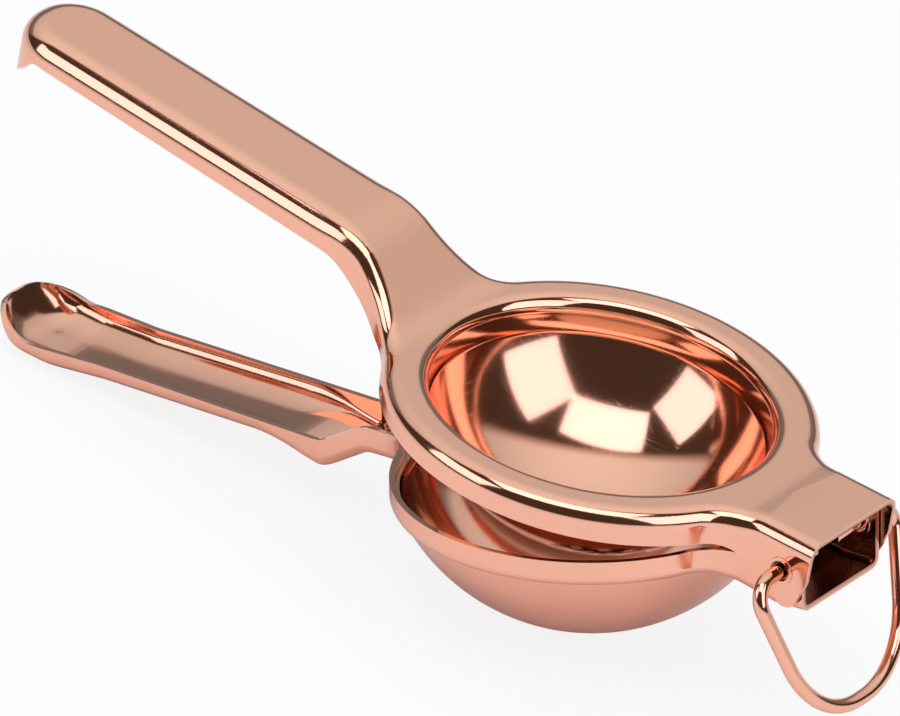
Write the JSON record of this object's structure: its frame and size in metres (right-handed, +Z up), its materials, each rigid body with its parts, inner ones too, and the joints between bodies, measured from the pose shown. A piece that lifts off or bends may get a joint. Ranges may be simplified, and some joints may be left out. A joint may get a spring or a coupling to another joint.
{
  "type": "hinged lemon squeezer",
  "caption": "Hand squeezer of stamped sheet: a press arm with a plain bowl hinged to a strainer arm with a perforated bowl, with a wire hanging loop.",
  "frame": {"origin": "middle of the bounding box at the level of the surface that the squeezer stands on", "axes": "+X from the handles towards the hinge, +Y across along the hinge axis, +Z up; the squeezer stands on the edge of its strainer base and the end of its lower handle"},
  "size_m": [0.2156, 0.088, 0.0732],
  "materials": {
    "copper_arm": "mirror polished copper plate on stamped steel",
    "copper_bowl": "bright drawn copper plate with a faint haze",
    "copper_eyelet": "bright copper plate",
    "copper_wire": "bright copper plated wire"
  },
  "bodies": {
    "strainer_arm": {"lower_arm": "copper_arm", "strainer_bowl": "copper_bowl"},
    "press_arm": {"upper_arm": "copper_arm", "press_bowl": "copper_bowl", "pivot_eyelet_left": "copper_eyelet", "pivot_eyelet_right": "copper_eyelet"},
    "loop": {"hanging_loop": "copper_wire"}
  },
  "joints": [
    {"name": "press_hinge", "type": "hinge", "parent": "strainer_arm", "child": "press_arm", "pos_m": [0.09183, 0, 0.03968], "axis": [0, 1, 0], "range_deg": [-15, 95]},
    {"name": "loop_hinge", "type": "hinge", "parent": "strainer_arm", "child": "loop", "pos_m": [0.09183, 0, 0.03968], "axis": [0, 1, 0], "range_deg": [-110, 60]}
  ]
}
